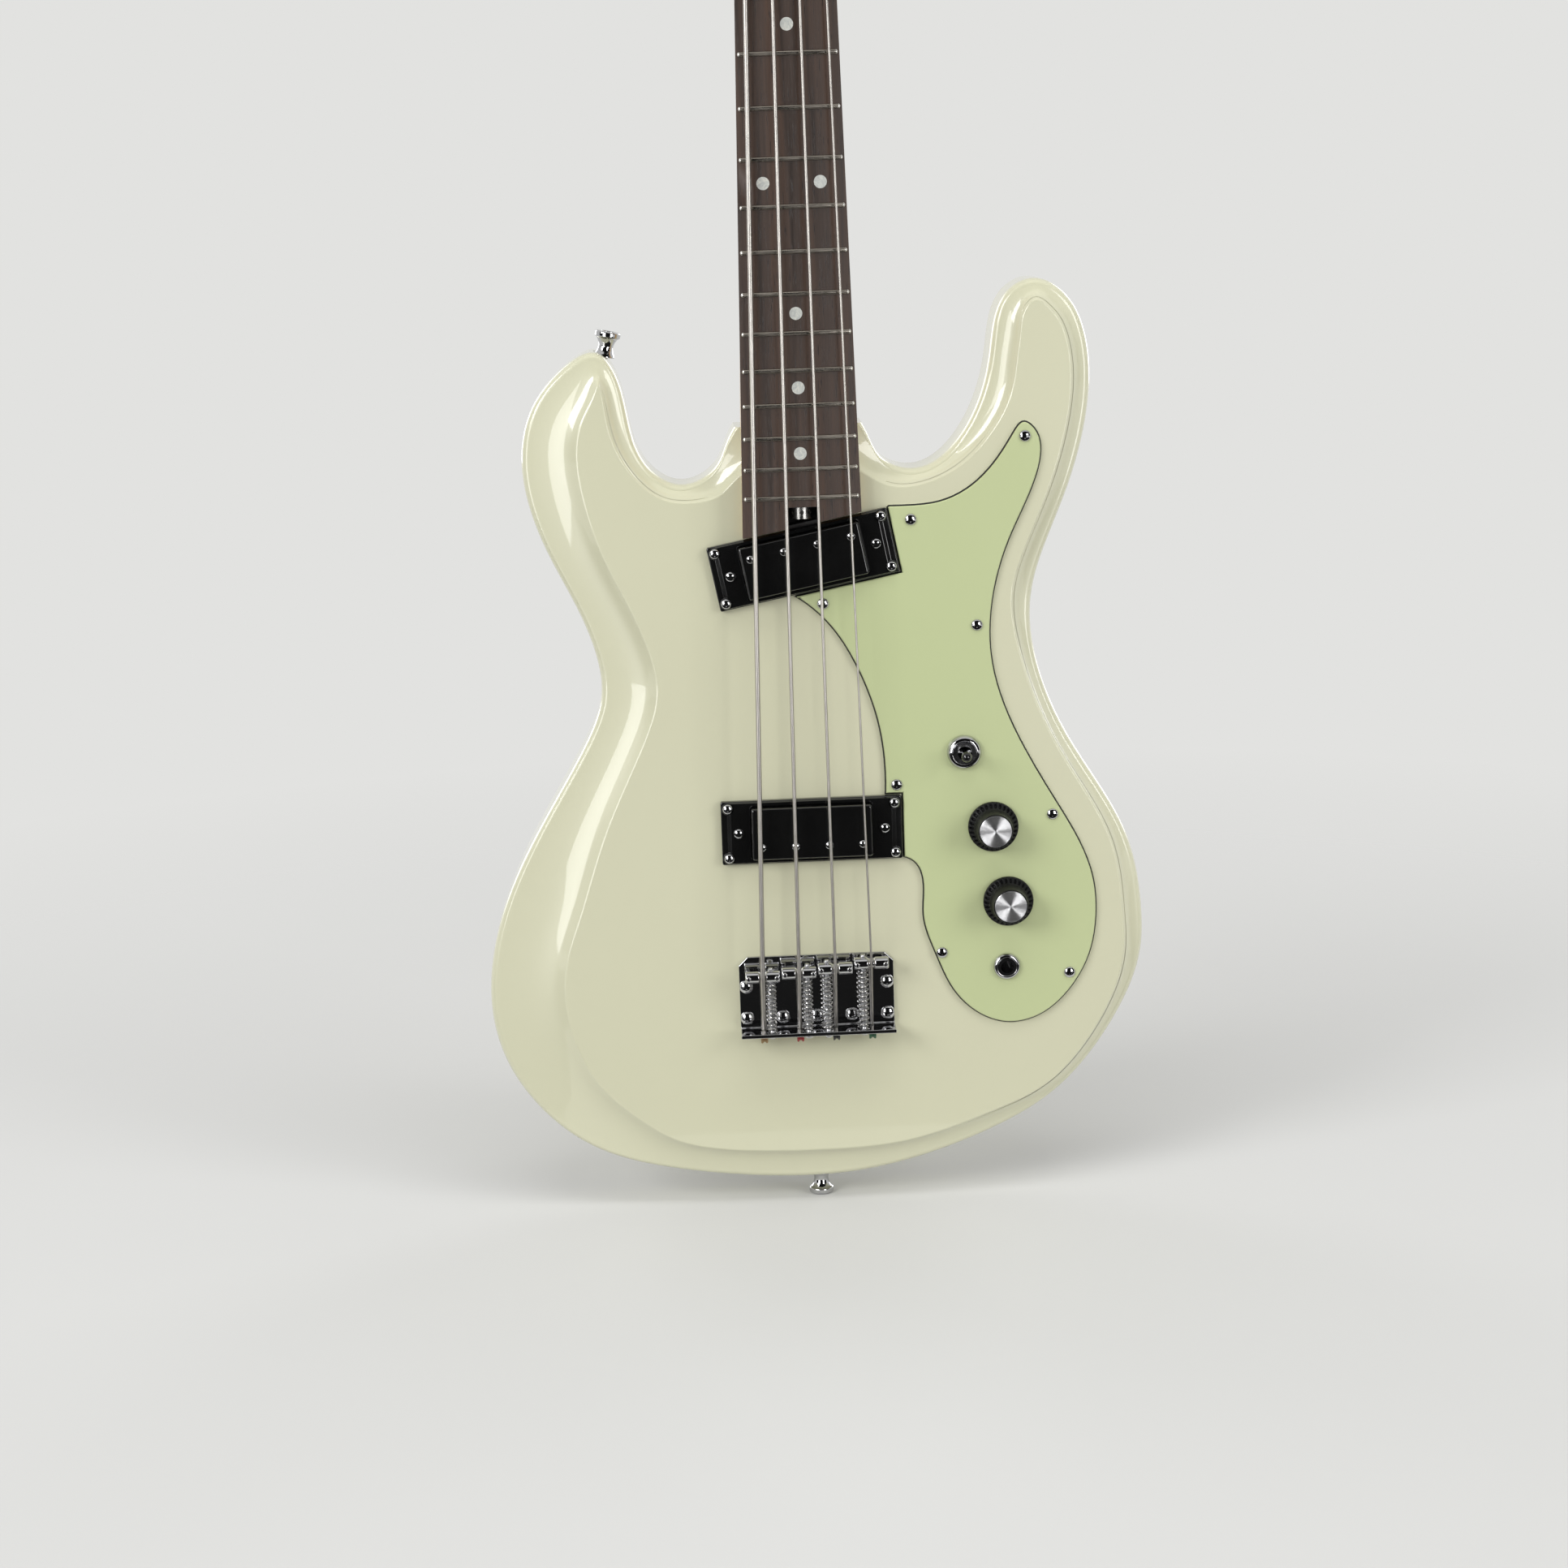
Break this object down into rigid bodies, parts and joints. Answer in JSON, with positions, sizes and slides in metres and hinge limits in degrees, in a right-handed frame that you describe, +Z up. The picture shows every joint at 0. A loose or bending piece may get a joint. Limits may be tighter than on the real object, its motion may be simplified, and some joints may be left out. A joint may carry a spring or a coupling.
{
  "type": "electric bass guitar",
  "caption": "Short-scale solid-body electric bass guitar with carved cream body, offset horns, slanted neck pickup, mint pickguard and chrome barrel-saddle bridge.",
  "frame": {"origin": "middle of the round rim of the tail strap button's head, on the instrument's centre line", "axes": "+Z up along the neck to the headstock, -Y out of the front of the body, +X to the treble side"},
  "size_m": [0.3425, 0.0621, 1.1047],
  "materials": {
    "body_lacquer": "gloss cream lacquer over wood",
    "neck_wood": "satin maple",
    "rosewood": "oiled dark rosewood",
    "fret_wire": "polished nickel silver",
    "bone": "polished bone",
    "pearl": "pearl plastic",
    "steel": "bright steel",
    "chrome": "polished chrome",
    "brass": "machined brass",
    "string_steel": "wound nickel steel",
    "black_plastic": "gloss black plastic",
    "coil": "steel base, magnet and taped coil",
    "guard_plastic": "layered mint green plastic",
    "spun_aluminium": "spun aluminium",
    "lever_metal": "dark polished metal",
    "wire_cover": "plastic covered wire"
  },
  "bodies": {
    "instrument": {"body": "body_lacquer", "neck": "neck_wood", "fingerboard": "rosewood", "frets": "fret_wire", "nut": "bone", "position_dots": "pearl", "truss_rod": "steel", "saddle_height_screws": "steel", "intonation_screws": "steel", "intonation_springs": "steel", "potentiometers": "steel", "neck_plate": "chrome", "neck_plate_screws": "chrome", "strap_buttons": "chrome", "strap_button_screws": "chrome", "tuner_plates": "chrome", "tuner_bushings": "chrome", "string_retainer": "chrome", "bridge_plate": "chrome", "bridge_screws": "chrome", "bridge_saddles": "chrome", "pickup_height_screws": "chrome", "small_wood_screws": "chrome", "panel_nuts": "chrome", "output_jack": "chrome", "string_1": "string_steel", "string_2": "string_steel", "string_3": "string_steel", "string_4": "string_steel", "neck_pickup_ring": "black_plastic", "bridge_pickup_ring": "black_plastic", "switch_body": "black_plastic", "pickguard": "guard_plastic", "wiring": "wire_cover"},
    "tuner_key_1": {"tuner_key_1": "chrome"},
    "tuner_post_1": {"tuner_post_1": "chrome", "tuner_gear_1": "brass"},
    "tuner_key_2": {"tuner_key_2": "chrome"},
    "tuner_post_2": {"tuner_post_2": "chrome", "tuner_gear_2": "brass"},
    "tuner_key_3": {"tuner_key_3": "chrome"},
    "tuner_post_3": {"tuner_post_3": "chrome", "tuner_gear_3": "brass"},
    "tuner_key_4": {"tuner_key_4": "chrome"},
    "tuner_post_4": {"tuner_post_4": "chrome", "tuner_gear_4": "brass"},
    "volume_control": {"volume_shaft": "steel", "volume_knob": "black_plastic", "volume_cap": "spun_aluminium"},
    "tone_control": {"tone_shaft": "steel", "tone_knob": "black_plastic", "tone_cap": "spun_aluminium"},
    "switch_lever": {"switch_lever": "lever_metal"},
    "truss_rod_wheel": {"truss_rod_wheel": "steel"},
    "neck_pickup": {"neck_pickup_cover": "black_plastic", "neck_pickup_coil": "coil", "neck_pole_screws": "chrome"},
    "bridge_pickup": {"bridge_pickup_cover": "black_plastic", "bridge_pickup_coil": "coil", "bridge_pole_screws": "chrome"}
  },
  "joints": [
    {"name": "tuner_key_1_turn", "type": "hinge", "parent": "instrument", "child": "tuner_key_1", "pos_m": [-0.025, 0.001, 0.956], "axis": [1, 0, 0], "continuous": true},
    {"name": "tuner_post_1_turn", "type": "hinge", "parent": "instrument", "child": "tuner_post_1", "pos_m": [-0.025, 0, 0.967], "axis": [0, -1, 0], "continuous": true},
    {"name": "tuner_key_2_turn", "type": "hinge", "parent": "instrument", "child": "tuner_key_2", "pos_m": [-0.025, 0.001, 1.022], "axis": [1, 0, 0], "continuous": true},
    {"name": "tuner_post_2_turn", "type": "hinge", "parent": "instrument", "child": "tuner_post_2", "pos_m": [-0.025, 0, 1.033], "axis": [0, -1, 0], "continuous": true},
    {"name": "tuner_key_3_turn", "type": "hinge", "parent": "instrument", "child": "tuner_key_3", "pos_m": [0.025, 0.001, 1.022], "axis": [1, 0, 0], "continuous": true},
    {"name": "tuner_post_3_turn", "type": "hinge", "parent": "instrument", "child": "tuner_post_3", "pos_m": [0.025, 0, 1.033], "axis": [0, -1, 0], "continuous": true},
    {"name": "tuner_key_4_turn", "type": "hinge", "parent": "instrument", "child": "tuner_key_4", "pos_m": [0.025, 0.001, 0.956], "axis": [1, 0, 0], "continuous": true},
    {"name": "tuner_post_4_turn", "type": "hinge", "parent": "instrument", "child": "tuner_post_4", "pos_m": [0.025, 0, 0.967], "axis": [0, -1, 0], "continuous": true},
    {"name": "volume_turn", "type": "hinge", "parent": "instrument", "child": "volume_control", "pos_m": [0.0936, -0.02, 0.2], "axis": [0, -1, 0], "range_deg": [-150, 150]},
    {"name": "tone_turn", "type": "hinge", "parent": "instrument", "child": "tone_control", "pos_m": [0.1007, -0.02, 0.1601], "axis": [0, -1, 0], "range_deg": [-150, 150]},
    {"name": "switch_throw", "type": "hinge", "parent": "instrument", "child": "switch_lever", "pos_m": [0.0795, -0.0209, 0.2396], "axis": [1, 0, 0], "range_deg": [-14, 14]},
    {"name": "truss_wheel_turn", "type": "hinge", "parent": "instrument", "child": "truss_rod_wheel", "pos_m": [0, -0.0175, 0.3658], "axis": [0, 0, 1], "range_deg": [-180, 180]},
    {"name": "neck_pickup_height", "type": "slide", "parent": "instrument", "child": "neck_pickup", "axis": [0, -1, 0], "range_m": [-0.0015, 0.0015]},
    {"name": "bridge_pickup_height", "type": "slide", "parent": "instrument", "child": "bridge_pickup", "axis": [0, -1, 0], "range_m": [-0.0015, 0.0015]}
  ],
  "couplings": [
    {"joint": "tuner_post_1_turn", "follows": "tuner_key_1_turn", "ratio": -0.05},
    {"joint": "tuner_post_2_turn", "follows": "tuner_key_2_turn", "ratio": -0.05},
    {"joint": "tuner_post_3_turn", "follows": "tuner_key_3_turn", "ratio": -0.05},
    {"joint": "tuner_post_4_turn", "follows": "tuner_key_4_turn", "ratio": -0.05}
  ]
}
